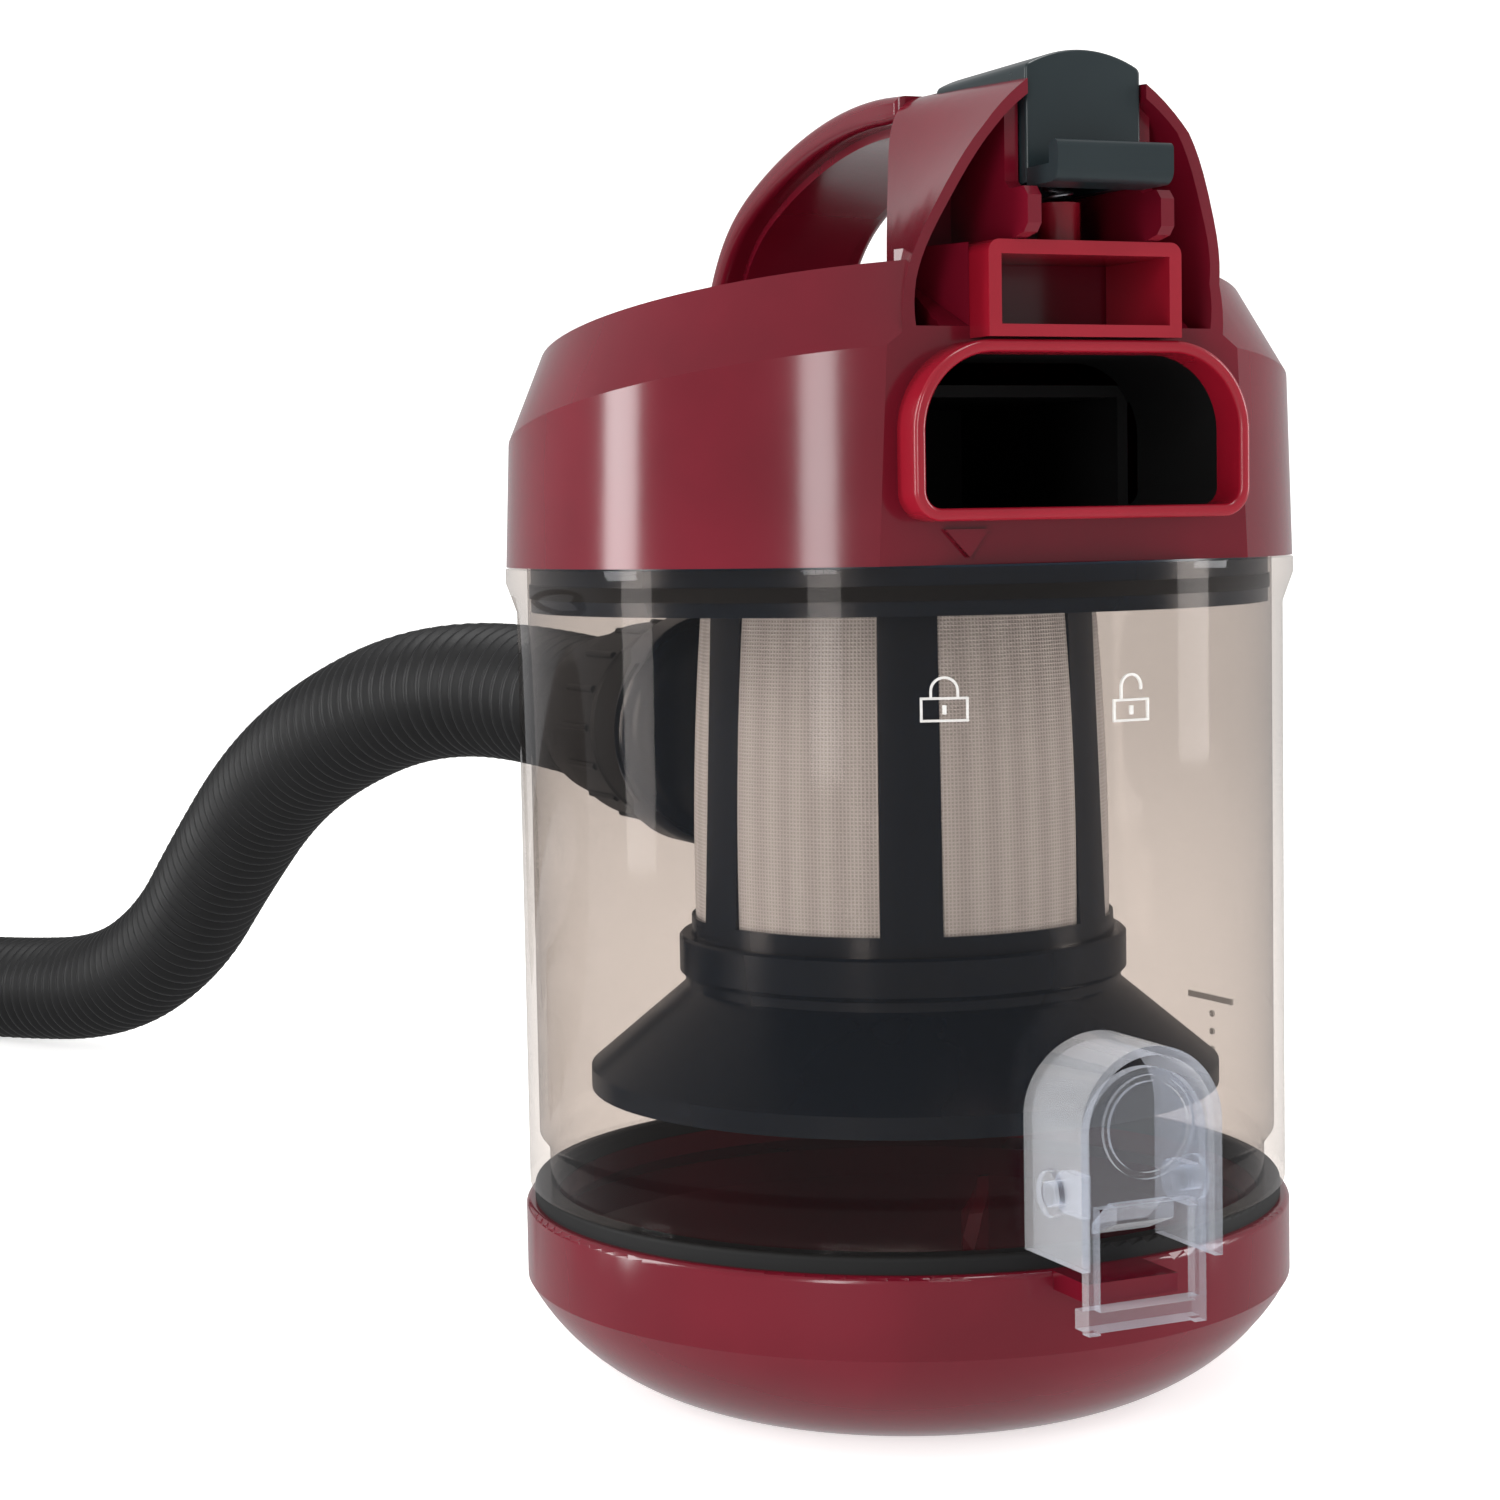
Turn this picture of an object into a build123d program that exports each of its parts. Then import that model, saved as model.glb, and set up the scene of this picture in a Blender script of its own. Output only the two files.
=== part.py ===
from build123d import *
import math
import os

# Cyclone dust canister of a bagless vacuum cleaner, with its suction hose.
# Millimetres, +Z up. The origin is the centre of the flat face that the canister rests on.
# -Y is the dock side, with the air outlet, the release button and the base latch.
# +Y is the rear, with the dust inlet, the hose and the hinge of the base.

# ---------------------------------------------------------------- driving dimensions
clear = 0.4                 # gap between pieces that move past each other
pin_clear = 0.05            # radial running clearance of a pin in its bore

# overall sizes
bin_r = 85.0
bin_h = 136.8
base_rim_z = 40.8           # height of the base lid

# base lid
base_stand = 0.9            # how far the base stands out from the bin's wall
base_r = bin_r + base_stand
base_wall = 2.6
base_crease_z = 23.7
base_curve_w = 27.9         # width of the curve under the crease
base_flat_r = base_r - base_curve_w
base_bulge = 3.4            # how far the lower curve stands out from its chord
rim_w = 7.4
rim_inner_r = base_r - rim_w
rim_depth = 5.0
rim_round = 1.5
fin_top_z = base_rim_z + 13.2
base_seal_h = 3.8
ledge_half_w = 10.5
ledge_h = 3.8
ledge_reach = 12.2          # from the base wall forwards

# clear dust bin
bin_wall = 2.4
bin_foot_wall = 4.6
bin_foot_h = 11.0
bin_base_z = base_rim_z + base_seal_h + clear
bin_top_z = bin_base_z + bin_h
flange_r = bin_r + 2.3
flange_h = 3.2
flange_flare = 6.5

# hinge of the base
hinge_y = bin_r + 8.0
hinge_z = base_rim_z - 3.8
hinge_pin_r = 2.0
hinge_boss_r = hinge_pin_r + 3.0
hinge_knuckle_half = 9.0
hinge_ear_w = 6.0

# base latch
latch_half_w = 16.0
latch_wall = 1.8
latch_front_y = -(bin_r + 21.0)
latch_bottom_z = bin_base_z + 0.5
latch_top_z = latch_bottom_z + 43.0
lever_half_w = latch_half_w - latch_wall - 2 * clear
lever_face_y = latch_front_y + 2.0
lever_thick = 2.6
lever_top_z = latch_top_z - 4.5
lever_leg_w = 2.6
lever_waist_z = latch_bottom_z + 11.5
lever_pivot_y = latch_front_y + 11.0
lever_pivot_z = latch_bottom_z + 13.5
lever_stub_r = 2.5
hook_bar_h = 4.0
hook_bar_z = base_rim_z - ledge_h - clear - hook_bar_h
hook_bar_depth = 5.4
press_r = 10.3
press_z = latch_top_z - latch_half_w - 0.1

# dust inlet and hose
inlet_x = -14.0
inlet_z = bin_top_z - 40.8
inlet_r = 22.0
inlet_bore_r = 16.0
elbow_r = inlet_r + 6.5
elbow_wall = 2.2
elbow_face_y = bin_r - 25.0
spigot_end_y = bin_r + 15.0
cuff_start_y = bin_r + 5.0
cuff_r = inlet_r + 3.0
cuff_len = 45.0
cuff_end_y = cuff_start_y + cuff_len
hose_r = 19.0
hose_bore_r = 17.0
cuff_neck_r = hose_r + 2.5
end_cuff_len = 66.0
end_cuff_r = hose_r + 3.0
end_bore_r = hose_bore_r + 1.0
end_collar_len = 14.0

# head
head_gap = clear            # between the bin's top and the head
head_base_z = bin_top_z + head_gap
head_base_r = bin_r + 2.1
head_crease_r = head_base_r - 1.1
head_top_r = head_base_r - 9.6
head_wall = 2.6
crease_mid_z = head_base_z + 31.3
shoulder_h = 18.3
tilt = 8.73                 # slope of the crease and the top, high side at the dock
dock_y = 11.1 - head_base_r
pointer_depth = 1.2
seat_thick = 3.0
seat_lip_h = 10.0
seat_lip_wall = 2.4
seal_depth = 1.2
seal_h = 3.0
seat_screw_r = 1.6
seat_screw_circle = head_base_r - 25.1

# air outlet duct
duct_half_w = 38.3
duct_z0 = head_base_z + 8.6
duct_h = 35.3
duct_z1 = duct_z0 + duct_h
duct_wall = 2.5
duct_front_y = dock_y - 8.0
bezel_depth = 9.0
bezel_round = 1.1
duct_top_radius = 18.0
duct_bottom_radius = 6.0
plenum_half_w = 34.0
plenum_top_z = duct_z1 - 7.1
plenum_front_y = dock_y + 32.0
plenum_rear_y = 30.0

# hood over the release button
recess_floor_z = duct_z1 + 2.9
recess_back_y = dock_y + 17.5
hood_front_y = dock_y - 9.0
hood_rear_y = dock_y + 38.0
hood_wall = 2.8
hood_foot_z = recess_floor_z - 3.0
hood_top_z = recess_floor_z + 52.0
hood_rear_top_z = hood_top_z - 1.4
hood_half_w = 40.3
hood_rear_half_w = 21.0
hood_lean_z0 = recess_floor_z + 9.0     # the front leans out of the dock face
hood_lean_z1 = recess_floor_z + 38.0    # between these heights
ramp_rise = 12.0
gusset_w = 7.0

# pocket frame under the button
frame_half_w = 21.9
frame_wall = 2.8
frame_top_z = recess_floor_z + 16.4
frame_front_y = dock_y - 8.0
frame_foot_h = 2.4

# cheeks either side of the button, each with a tooth at its foot
cheek_thick = 3.0
cheek_front_y = dock_y - 5.0
tooth_front_y = dock_y - 14.0
tooth_z0 = frame_top_z
tooth_z1 = frame_top_z + 9.8

# release button
button_half_w = 13.0
button_z0 = recess_floor_z + 27.4
button_z1 = recess_floor_z + 53.6
button_crown = 3.4          # how far the middle of its top stands above the sides
button_front_y = dock_y - 7.5
button_rear_y = dock_y + 29.5
button_pin_y = dock_y + 25.0
button_pin_z = recess_floor_z + 39.0
button_pin_r = 2.0
hook_half_w = button_half_w
hook_z0 = button_z0 - 0.8
hook_h = 8.0
hook_front_y = button_front_y - 12.1
hook_floor = 3.6
hook_lip = 3.4
hook_round = 1.4
spring_y = dock_y + 3.0
spring_r = 2.6
spring_wire_r = 0.5
spring_turns = 6.0
spring_pocket_h = 5.0
post_wall = 1.0             # tube round the spring
post_top_z = button_z0 - 2.8

# handle grip
grip_half_w = 18.0
grip_thick = 5.8
grip_round = 2.2
underside_half_w = 12.5
underside_thick = 1.8

# filter
cage_bottom_r = 47.5
cage_top_r = 44.5
cage_wall = 2.4
filter_room = 54.4          # height kept free under the cage for dust
cage_z0 = bin_base_z + filter_room
cage_z1 = head_base_z - clear
rib_w = 13.0
rib_count = 6
rib_first = -114.5          # direction of the first rib, degrees from +X
window_z0 = cage_z0 + 4.1
window_z1 = cage_z1 - 7.8
mesh_thick = 0.8
mesh_bulge = 0.9
spigot_r = 24.2
spigot_wall = 2.2
spigot_h = 6.0
seat_hole_r = spigot_r + 1.5 * clear
collar_r = cage_bottom_r + 2.75
collar_h = 9.4
collar_z0 = cage_z0 - collar_h
skirt_top_r = collar_r - 1.25
skirt_r = bin_r - bin_wall - 12.0
skirt_rim_z0 = collar_z0 - 24.7
skirt_rim_z1 = collar_z0 - 20.0
skirt_wall = 2.0
cartridge_r = cage_top_r - 6.5
cartridge_root_r = cartridge_r - 6.5
cartridge_bore_r = cartridge_r - 10.0
cartridge_cap_h = 4.0
pleat_count = 48

os.makedirs("parts", exist_ok=True)


def keep(builder, name):
    """Label a finished piece and write its STEP file."""
    builder.part.label = name
    export_step(builder.part, "parts/" + name + ".step")


def ring_profile(r_in, r_out, z0, z1):
    """Rectangle in the XZ plane that revolves into a ring."""
    with Locations(((r_in + r_out) / 2, (z0 + z1) / 2)):
        Rectangle(r_out - r_in, z1 - z0)


# ---------------------------------------------------------------- base lid
hinge_line = Plane(origin=(0, hinge_y, hinge_z), x_dir=(0, 1, 0), z_dir=(1, 0, 0))
chord = math.hypot(base_r - base_flat_r, base_crease_z)
bulge_x = (base_r + base_flat_r) / 2 + base_bulge * base_crease_z / chord
bulge_z = base_crease_z / 2 - base_bulge * (base_r - base_flat_r) / chord
inner_r = base_r - base_wall

with BuildPart() as base_lid:
    # dish with a rounded rim
    with BuildSketch(Plane.XZ):
        with BuildLine():
            Line((0, 0), (base_flat_r, 0))
            ThreePointArc((base_flat_r, 0), (bulge_x, bulge_z), (base_r, base_crease_z))
            Line((base_r, base_crease_z), (base_r, base_rim_z - rim_round))
            RadiusArc((base_r, base_rim_z - rim_round), (base_r - rim_round, base_rim_z), -rim_round)
            Line((base_r - rim_round, base_rim_z), (rim_inner_r, base_rim_z))
            Line((rim_inner_r, base_rim_z), (rim_inner_r, base_rim_z - rim_depth))
            Line((rim_inner_r, base_rim_z - rim_depth), (inner_r, base_rim_z - rim_depth - 4))
            Line((inner_r, base_rim_z - rim_depth - 4), (inner_r, base_crease_z + 1))
            ThreePointArc(
                (inner_r, base_crease_z + 1),
                (bulge_x - base_wall * 0.75, bulge_z + base_wall * 0.9),
                (base_flat_r - 1, base_wall),
            )
            Line((base_flat_r - 1, base_wall), (0, base_wall))
            Line((0, base_wall), (0, 0))
        make_face()
    revolve(axis=Axis.Z)
    # catch ledge that the latch hooks under, with two gussets
    with BuildSketch(Plane.XY.offset(base_rim_z - ledge_h)):
        with Locations((0, -(base_r + (ledge_reach - 2) / 2))):
            Rectangle(2 * ledge_half_w, ledge_reach + 2)
    extrude(amount=ledge_h)
    # hinge knuckle at the rear, joined to the wall
    with BuildSketch(hinge_line.offset(-hinge_knuckle_half)):
        Circle(hinge_boss_r)
        with Locations((-(hinge_y - base_r + 1) / 2, 0)):
            Rectangle(hinge_y - base_r + 1, 2 * hinge_boss_r - 2)
    extrude(amount=2 * hinge_knuckle_half)
    with BuildSketch(hinge_line.offset(-hinge_knuckle_half - 1)):
        Circle(hinge_pin_r + pin_clear)
    extrude(amount=2 * hinge_knuckle_half + 2, mode=Mode.SUBTRACT)
    # curved fin that stills the dust
    with BuildSketch(Plane.XY.offset(base_wall - 0.5)):
        with BuildLine():
            ThreePointArc((-19, -63), (-9.5, -52), (-6, -38))
            Line((-6, -38), (-3.8, -38))
            ThreePointArc((-3.8, -38), (-7.4, -53), (-17.4, -64.5))
            Line((-17.4, -64.5), (-19, -63))
        make_face()
    extrude(amount=fin_top_z - base_wall)
    with BuildSketch(Plane.YZ.offset(-30)):
        with BuildLine():
            Polyline((-70, fin_top_z - 24), (-61, fin_top_z - 6), (-52, fin_top_z),
                     (-37, fin_top_z - 12), (-37, fin_top_z + 9), (-70, fin_top_z + 9),
                     (-70, fin_top_z - 24))
        make_face()
    extrude(amount=40, mode=Mode.SUBTRACT)
keep(base_lid, "base_lid")

with BuildPart() as base_seal:
    with BuildSketch(Plane.XZ):
        ring_profile(rim_inner_r + 0.5, base_r - 2.0, base_rim_z, base_rim_z + base_seal_h)
    revolve(axis=Axis.Z)
    fillet(base_seal.edges().filter_by(GeomType.CIRCLE).group_by(Axis.Z)[-1], 1.2)
keep(base_seal, "base_seal")

# ---------------------------------------------------------------- clear dust bin
bin_in_r = bin_r - bin_wall
foot_in_r = bin_r - bin_foot_wall
inlet_line = Plane(origin=(inlet_x, 0, inlet_z), x_dir=(-1, 0, 0), z_dir=(0, 1, 0))
ear_x0 = hinge_knuckle_half + clear

with BuildPart() as bin_shell:
    with BuildSketch(Plane.XZ):
        with BuildLine():
            Polyline(
                (foot_in_r, bin_base_z), (bin_r, bin_base_z),
                (bin_r, bin_top_z - flange_h - flange_flare),
                (flange_r, bin_top_z - flange_h), (flange_r, bin_top_z),
                (bin_in_r, bin_top_z), (bin_in_r, bin_base_z + bin_foot_h),
                (foot_in_r, bin_base_z + bin_foot_h - 3), (foot_in_r, bin_base_z),
            )
        make_face()
    revolve(axis=Axis.Z)
    # ears that carry the hinge pin
    for side in (-1, 1):
        start = ear_x0 if side > 0 else -ear_x0 - hinge_ear_w
        with BuildSketch(hinge_line.offset(start)):
            Circle(hinge_boss_r)
            with Locations((-2.5, 8)):
                Rectangle(5, 16)
            with Locations((-5, 14)):
                Rectangle(10, 8)
        extrude(amount=hinge_ear_w)
    with BuildSketch(hinge_line.offset(-40)):
        Circle(hinge_pin_r)
    extrude(amount=80, mode=Mode.SUBTRACT)
    # keep the inside of the bin clear of the ears
    with BuildSketch(Plane.XY.offset(bin_base_z - 0.5)):
        Circle(foot_in_r)
    extrude(amount=6, mode=Mode.SUBTRACT)
    # hole for the dust inlet
    with BuildSketch(inlet_line.offset(elbow_face_y)):
        Circle(inlet_r)
    extrude(amount=40, mode=Mode.SUBTRACT)
keep(bin_shell, "bin_shell")

with BuildPart() as hinge_pin:
    with BuildSketch(hinge_line.offset(-ear_x0 - hinge_ear_w)):
        Circle(hinge_pin_r)
    extrude(amount=2 * (ear_x0 + hinge_ear_w))
keep(hinge_pin, "hinge_pin")

# ---------------------------------------------------------------- base latch
front_wall = Plane(origin=(0, 0, 0), x_dir=(1, 0, 0), z_dir=(0, -1, 0))
arch_z = latch_top_z - latch_half_w
latch_root = bin_r - 15.0

with BuildPart() as latch_housing:
    # arched cover that stands on the bin wall and is open in front and below
    with BuildSketch(front_wall.offset(latch_root)):
        with Locations((0, (arch_z + latch_bottom_z) / 2)):
            Rectangle(2 * latch_half_w, arch_z - latch_bottom_z)
        with Locations((0, arch_z)):
            Circle(latch_half_w)
        with Locations((0, (arch_z + latch_bottom_z) / 2 - 1)):
            Rectangle(2 * (latch_half_w - latch_wall), arch_z - latch_bottom_z + 2,
                      mode=Mode.SUBTRACT)
        with Locations((0, arch_z)):
            Circle(latch_half_w - latch_wall, mode=Mode.SUBTRACT)
    extrude(amount=-latch_front_y - latch_root)
    with BuildSketch(Plane.XY.offset(latch_bottom_z - 5)):
        Circle(bin_r)
    extrude(amount=latch_top_z, mode=Mode.SUBTRACT)
    # bosses round the lever's stubs, and their holes
    for side in (-1, 1):
        x0 = latch_half_w if side > 0 else -latch_half_w - 1.2
        with BuildSketch(Plane.YZ.offset(x0)):
            with Locations((lever_pivot_y, lever_pivot_z)):
                Circle(4.6)
        extrude(amount=1.2)
    with BuildSketch(Plane.YZ.offset(-30)):
        with Locations((lever_pivot_y, lever_pivot_z)):
            Circle(lever_stub_r + pin_clear)
    extrude(amount=60, mode=Mode.SUBTRACT)
keep(latch_housing, "latch_housing")

lever_arch_z = lever_top_z - lever_half_w
wedge_tip_y = lever_face_y + 10.5

with BuildPart() as latch_lever:
    # face plate with an arched top
    with BuildSketch(front_wall.offset(-lever_face_y - lever_thick)):
        with Locations((0, (lever_arch_z + lever_waist_z) / 2)):
            Rectangle(2 * lever_half_w, lever_arch_z - lever_waist_z)
        with Locations((0, lever_arch_z)):
            Circle(lever_half_w)
        # two legs down to the hook bar
        for side in (-1, 1):
            with Locations((side * (lever_half_w - lever_leg_w / 2), (lever_waist_z + hook_bar_z) / 2)):
                Rectangle(lever_leg_w, lever_waist_z - hook_bar_z + 1)
    extrude(amount=lever_thick)
    # hook bar
    with BuildSketch(Plane.XY.offset(hook_bar_z)):
        with Locations((0, lever_face_y + hook_bar_depth / 2)):
            Rectangle(2 * lever_half_w, hook_bar_depth)
    extrude(amount=hook_bar_h)
    # ears with the stubs that turn in the housing
    for side in (-1, 1):
        x0 = lever_half_w - 2.2 if side > 0 else -lever_half_w
        with BuildSketch(Plane.YZ.offset(x0)):
            with Locations((lever_pivot_y, lever_pivot_z)):
                Circle(4.2)
            with Locations(((lever_face_y + 1 + lever_pivot_y) / 2, lever_pivot_z)):
                Rectangle(lever_pivot_y - lever_face_y - 1, 8.4)
        extrude(amount=2.2)
        s0 = lever_half_w - 0.5 if side > 0 else -latch_half_w - 1.0
        with BuildSketch(Plane.YZ.offset(s0)):
            with Locations((lever_pivot_y, lever_pivot_z)):
                Circle(lever_stub_r)
        extrude(amount=latch_half_w - lever_half_w + 1.5)
    # raised ring round the press pad
    with BuildSketch(front_wall.offset(-lever_face_y - 0.2)):
        with Locations((0, press_z)):
            Circle(press_r)
            Circle(press_r - 1.3, mode=Mode.SUBTRACT)
    extrude(amount=1.2)
    # wedge ledge with a gusset behind the waist
    with BuildSketch(Plane.YZ.offset(-6.5)):
        with BuildLine():
            Polyline((lever_face_y + 0.8, lever_waist_z), (lever_face_y + 0.8, lever_waist_z - 3.5),
                     (wedge_tip_y, lever_waist_z - 7.5), (wedge_tip_y, lever_waist_z - 5.5),
                     (lever_face_y + 4, lever_waist_z),
                     (lever_face_y + 0.8, lever_waist_z))
        make_face()
    extrude(amount=13)
keep(latch_lever, "latch_lever")

# ---------------------------------------------------------------- dust inlet
with BuildPart() as inlet_elbow:
    # round hood against the inside of the wall, closed in front, open to one side
    with BuildSketch(inlet_line.offset(elbow_face_y)):
        Circle(elbow_r)
    extrude(amount=30)
    fillet(inlet_elbow.faces().sort_by(Axis.Y)[0].edges(), 7)
    with BuildSketch(inlet_line.offset(elbow_face_y + elbow_wall)):
        Circle(elbow_r - elbow_wall)
    extrude(amount=30, mode=Mode.SUBTRACT)
    with BuildSketch(Plane.XY.offset(inlet_z - elbow_r)):
        with Locations((inlet_x - elbow_r, elbow_face_y + 11)):
            Rectangle(2 * elbow_wall + 12, 13)
    extrude(amount=2 * elbow_r, mode=Mode.SUBTRACT)
    # back plate and spigot through the wall
    with BuildSketch(inlet_line.offset(elbow_face_y + 12)):
        Circle(elbow_r - elbow_wall)
    extrude(amount=14)
    with BuildSketch(Plane.XY.offset(inlet_z - 40)):
        Circle(bin_r + 45)
        Circle(bin_in_r - 0.1, mode=Mode.SUBTRACT)
    extrude(amount=80, mode=Mode.SUBTRACT)
    with BuildSketch(inlet_line.offset(elbow_face_y + 14)):
        Circle(inlet_r)
    extrude(amount=spigot_end_y - elbow_face_y - 14)
    with BuildSketch(inlet_line.offset(elbow_face_y + elbow_wall)):
        Circle(inlet_bore_r)
    extrude(amount=spigot_end_y - elbow_face_y, mode=Mode.SUBTRACT)
keep(inlet_elbow, "inlet_elbow")

inlet_axis = Axis((inlet_x, 0, inlet_z), (0, 1, 0))
inlet_plan = Plane(origin=(inlet_x, 0, inlet_z), x_dir=(1, 0, 0), z_dir=(0, 0, 1))

with BuildPart() as inlet_seal:
    with BuildSketch(inlet_line.offset(bin_r - 15)):
        Circle(cuff_r - 0.5)
        Circle(inlet_r, mode=Mode.SUBTRACT)
    extrude(amount=cuff_start_y - bin_r + 15)
    with BuildSketch(Plane.XY.offset(inlet_z - 40)):
        Circle(bin_r)
    extrude(amount=80, mode=Mode.SUBTRACT)
keep(inlet_seal, "inlet_seal")

with BuildPart() as hose_cuff:
    # rigid cuff over the spigot, with a gripped waist and a narrower neck
    with BuildSketch(inlet_plan):
        with BuildLine():
            Polyline(
                (inlet_r, cuff_start_y), (cuff_r - 1, cuff_start_y), (cuff_r, cuff_start_y + 1.5),
                (cuff_r, cuff_start_y + 22), (cuff_neck_r, cuff_start_y + 28),
                (cuff_neck_r, cuff_end_y), (hose_bore_r, cuff_end_y),
                (hose_bore_r, spigot_end_y + 2), (inlet_r, spigot_end_y + 0.5),
                (inlet_r, cuff_start_y),
            )
        make_face()
    revolve(axis=inlet_axis)
    with BuildSketch(inlet_line.offset(cuff_start_y + 3)):
        with PolarLocations(cuff_r, 16):
            Circle(0.9)
    extrude(amount=17)
keep(hose_cuff, "hose_cuff")

# The hose leaves the cuff to the rear, bends down to the floor, and lies there in one open loop.
hose_route = [
    (inlet_x, cuff_end_y, inlet_z), (-21, 184, 146), (-37, 231, 144), (-48, 283, 130),
    (-53, 338, 110), (-57, 389, 80), (-62, 432, 49), (-74, 486, 26), (-98, 546, 19.4),
    (-140, 603, 19.2), (-202, 642, 19.2), (-277, 655, 19.2), (-350, 641, 19.2), (-409, 604, 19.2),
    (-451, 548, 19.2), (-470, 481, 19.2), (-464, 411, 19.2), (-433, 348, 19.2), (-382, 301, 19.2),
    (-318, 274, 20.2), (-262, 271, 22.2), (-236, 274, 22.2),
]


def bend_radii(points):
    """Radius of each corner: as large as its two runs allow."""
    radii = []
    for before, here, after in zip(points, points[1:], points[2:]):
        run_in = Vector(*here) - Vector(*before)
        run_out = Vector(*after) - Vector(*here)
        turn = math.radians(run_in.get_angle(run_out))
        radii.append(0.45 * min(run_in.length, run_out.length) / math.tan(turn / 2))
    return radii


hose_radii = bend_radii(hose_route)
route_start = Vector(*hose_route[1]) - Vector(*hose_route[0])
route_end = Vector(*hose_route[-1]) - Vector(*hose_route[-2])

with BuildPart() as hose_tube:
    with BuildLine() as hose_path:
        FilletPolyline(*hose_route, radius=hose_radii)
    with BuildSketch(Plane(origin=hose_route[0], z_dir=route_start)):
        Circle(hose_r)
        Circle(hose_bore_r, mode=Mode.SUBTRACT)
    sweep()
    # square the first end to the face of the cuff
    with BuildSketch(Plane.XZ.offset(-cuff_end_y)):
        with Locations((inlet_x, inlet_z)):
            Circle(2 * hose_r)
    extrude(amount=10, mode=Mode.SUBTRACT)
keep(hose_tube, "hose_tube")
hose_length = sum(piece.length for piece in hose_path.edges())
section = math.pi * (hose_r**2 - hose_bore_r**2)
print("hose length", round(hose_length), "smallest radius", round(min(hose_radii)))
print("hose radii", [round(r) for r in hose_radii])
print("hose volume", round(hose_tube.part.volume), "section times length", round(section * hose_length))

# coupling at the free end of the hose, with a collar at its mouth
end_plane = Plane(origin=hose_route[-1], z_dir=route_end)
with BuildPart() as hose_end:
    with BuildSketch(end_plane):
        Circle(end_cuff_r - 1.0)
        Circle(end_bore_r, mode=Mode.SUBTRACT)
    extrude(amount=end_cuff_len)
    with BuildSketch(end_plane.offset(end_cuff_len - end_collar_len)):
        Circle(end_cuff_r)
        Circle(end_cuff_r - 1.5, mode=Mode.SUBTRACT)
    extrude(amount=end_collar_len)
keep(hose_end, "hose_end")

# ---------------------------------------------------------------- head shell
up = math.radians(tilt)
top_normal = (0, math.sin(up), math.cos(up))
stretch = 1 / math.cos(up)
crease_plane = Plane(origin=(0, 0, crease_mid_z), x_dir=(1, 0, 0), z_dir=top_normal)
top_plane = crease_plane.offset(shoulder_h)


def drum(inset, drop):
    """Round body of the head: a tapered wall up to the tilted crease, then a sloping shoulder."""
    with BuildSketch(Plane.XY.offset(head_base_z - drop)) as foot:
        Circle(head_base_r - inset)
    with BuildSketch(crease_plane.offset(-0.4 * inset)) as crease:
        Ellipse(head_crease_r - inset, (head_crease_r - inset) * stretch)
    with BuildSketch(top_plane.offset(-inset)) as top:
        Ellipse(head_top_r - inset, (head_top_r - inset) * stretch)
    loft(sections=[foot.sketch, crease.sketch])
    loft(sections=[crease.sketch, top.sketch])


def hood_arch(half_w, top_z, foot_z, shape):
    """Arch seen from the dock. shape gives shares of the half width and height up one side."""
    rise = top_z - foot_z
    left = [(-across * half_w, foot_z + height * rise) for across, height in shape]
    right = [(-x, z) for x, z in reversed(left)]
    with BuildLine() as outline:
        Spline(*left, (0, top_z), *right)
        Line(right[-1], left[0])
    make_face(outline.edges())


def duct_outline(inset, mode=Mode.ADD):
    """Outline of the air outlet: wide, with large upper and small lower corners."""
    half = duct_half_w - inset
    low = duct_z0 + inset
    high = duct_z1 - inset
    big = duct_top_radius - inset
    small = max(duct_bottom_radius - inset, 1.0)
    corners = [(-half, low), (half, low), (half, high), (-half, high)]
    with BuildLine() as outline:
        FilletPolyline(*corners, radius=[small, small, big, big], close=True)
    make_face(outline.edges(), mode=mode)


# shares of half width and height: bowed sides at the front, nearly square at the rear
bowed = [(1, 0), (0.97, 0.25), (0.81, 0.48), (0.5, 0.81)]
square = [(1, 0), (0.99, 0.35), (0.96, 0.7), (0.84, 0.93)]
inner_w = hood_half_w - hood_wall
depth_share = (recess_back_y - hood_front_y) / (hood_rear_y - hood_front_y)
back_w = inner_w - depth_share * (hood_half_w - hood_rear_half_w)
cheek_x = button_half_w + clear + 0.1 + cheek_thick / 2
cheek_top_z = hood_top_z - hood_wall - 4.6
fit_gap = 0.1
ramp_reach = back_w + 2.0
slot_front_y = hood_front_y - 5.0

with BuildPart() as head_hollow:
    drum(head_wall, 2)
    # keep a wall behind the dock face and under the recess floor
    with BuildSketch(Plane.XY.offset(head_base_z - 12)):
        with Locations((0, dock_y + head_wall - 30)):
            Rectangle(3 * bin_r, 60)
    extrude(amount=100, mode=Mode.SUBTRACT)
    with BuildSketch(Plane.XY.offset(recess_floor_z - head_wall)):
        with Locations((0, dock_y + 6)):
            Rectangle(2 * hood_half_w + 6, 50)
    extrude(amount=40, mode=Mode.SUBTRACT)

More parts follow.
